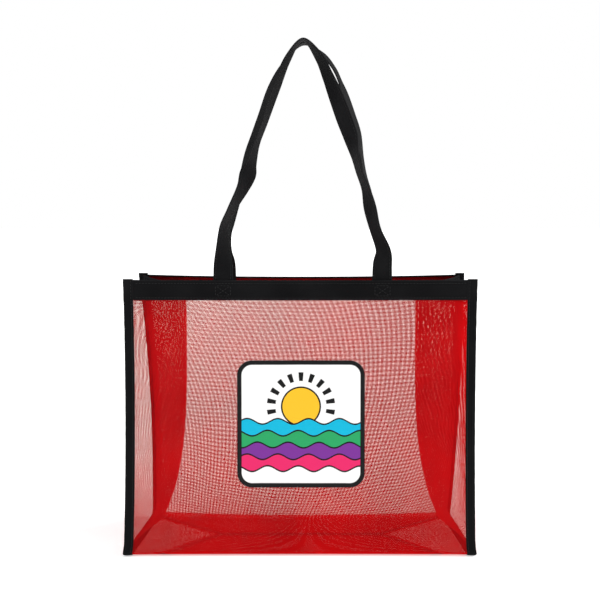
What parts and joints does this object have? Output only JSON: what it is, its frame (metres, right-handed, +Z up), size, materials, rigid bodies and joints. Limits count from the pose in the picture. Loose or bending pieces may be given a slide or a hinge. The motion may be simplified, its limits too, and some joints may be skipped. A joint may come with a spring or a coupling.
{
  "type": "beach tote bag",
  "caption": "See-through mesh beach tote with folded sides, dark webbing rim band, bound side seams, two shoulder handles and a printed front panel.",
  "frame": {"origin": "centre of the base, on the surface that the bag stands on", "axes": "+X across the bag to the right seen from the front, the front faces -Y, +Z up"},
  "size_m": [0.4, 0.141, 0.5838],
  "materials": {
    "mesh_cloth": "sheer open woven nylon mesh",
    "binding_tape": "fine ribbed binding tape",
    "band_webbing": "plain woven grosgrain band",
    "handle_webbing": "ribbed woven webbing",
    "printed_film": "satin heat-set printed film"
  },
  "bodies": {
    "bag": {"body_cloth": "mesh_cloth", "left_gusset": "mesh_cloth", "right_gusset": "mesh_cloth", "left_binding": "binding_tape", "right_binding": "binding_tape", "front_band": "band_webbing", "rear_band": "band_webbing", "left_gusset_band": "band_webbing", "right_gusset_band": "band_webbing", "front_handle_ends": "handle_webbing", "rear_handle_ends": "handle_webbing", "front_print": "printed_film"},
    "front_handle": {"front_handle": "handle_webbing"},
    "rear_handle": {"rear_handle": "handle_webbing"}
  },
  "joints": [
    {"name": "front_handle_swing", "type": "hinge", "parent": "bag", "child": "front_handle", "pos_m": [0, -0.043, 0.313], "axis": [1, 0, 0], "range_deg": [0, 165]},
    {"name": "rear_handle_swing", "type": "hinge", "parent": "bag", "child": "rear_handle", "pos_m": [0, 0.043, 0.313], "axis": [-1, 0, 0], "range_deg": [0, 165]}
  ]
}
